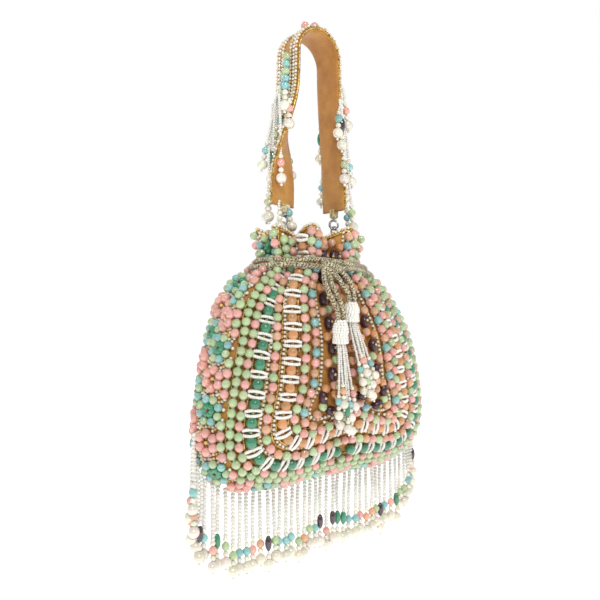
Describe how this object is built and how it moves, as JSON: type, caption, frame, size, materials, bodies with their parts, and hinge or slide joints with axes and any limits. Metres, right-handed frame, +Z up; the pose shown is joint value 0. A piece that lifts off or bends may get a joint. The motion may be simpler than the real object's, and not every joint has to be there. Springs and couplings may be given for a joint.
{
  "type": "potli bag",
  "caption": "Beaded drawstring pouch that swings from a flat strap on two small clasps, with tasselled cords and a bead fringe.",
  "frame": {"origin": "inside of the strap's arch at its highest point, where the bag hangs", "axes": "+X across the bag from clasp to clasp, -Y the front with the tassels, +Z up"},
  "size_m": [0.1852, 0.1025, 0.3632],
  "materials": {
    "strap_fabric": "smooth woven satin, tan",
    "tab_fabric": "cream and olive braid",
    "silver_metal": "bright plated metal",
    "string_beads": "glossy strung beads",
    "beaded_fabric": "tan fabric covered with beads",
    "lining_fabric": "plain woven, matt",
    "gold_cord": "metallic braid",
    "white_beads": "glossy white seed beads"
  },
  "bodies": {
    "handle": {"strap_band": "strap_fabric", "strap_tab_left": "tab_fabric", "strap_tab_right": "tab_fabric", "clasp_left": "silver_metal", "clasp_right": "silver_metal", "strap_string_left_top": "string_beads", "strap_string_left_front": "string_beads", "strap_string_left_middle": "string_beads", "strap_string_left_back": "string_beads", "strap_string_right_top": "string_beads", "strap_string_right_front": "string_beads", "strap_string_right_middle": "string_beads", "strap_string_right_back": "string_beads"},
    "clasp_lever_left": {"clasp_lever_left": "silver_metal"},
    "clasp_lever_right": {"clasp_lever_right": "silver_metal"},
    "pouch": {"outer_pouch": "beaded_fabric", "lining": "lining_fabric", "ring_left": "silver_metal", "ring_right": "silver_metal", "ring_loop_left": "tab_fabric", "ring_loop_right": "tab_fabric", "neck_cord_upper": "gold_cord", "neck_cord_lower": "gold_cord", "knot": "gold_cord", "tail_left_inner": "gold_cord", "tail_left_outer": "gold_cord", "tail_right_inner": "gold_cord", "tail_right_outer": "gold_cord", "tassel_cap_left": "white_beads", "tassel_cap_right": "white_beads", "tassel_strands_left": "string_beads", "tassel_strands_right": "string_beads", "fringe_01": "string_beads", "fringe_02": "string_beads", "fringe_03": "string_beads", "fringe_04": "string_beads", "fringe_05": "string_beads", "fringe_06": "string_beads", "fringe_07": "string_beads", "fringe_08": "string_beads", "fringe_09": "string_beads", "fringe_10": "string_beads", "fringe_11": "string_beads", "fringe_12": "string_beads", "fringe_13": "string_beads", "fringe_14": "string_beads"}
  },
  "joints": [
    {"name": "handle_swing", "type": "hinge", "parent": "handle", "child": "pouch", "pos_m": [0, 0, -0.1315], "axis": [1, 0, 0], "range_deg": [-32, 32]},
    {"name": "clasp_left_opens", "type": "hinge", "parent": "handle", "child": "clasp_lever_left", "pos_m": [-0.02499, 0, -0.12633], "axis": [0, -1, 0], "range_deg": [0, 18], "stiffness_Nm_per_rad": 0.002, "springref_deg": -11.46},
    {"name": "clasp_right_opens", "type": "hinge", "parent": "handle", "child": "clasp_lever_right", "pos_m": [0.02499, 0, -0.12633], "axis": [0, 1, 0], "range_deg": [0, 18], "stiffness_Nm_per_rad": 0.002, "springref_deg": -11.46}
  ]
}
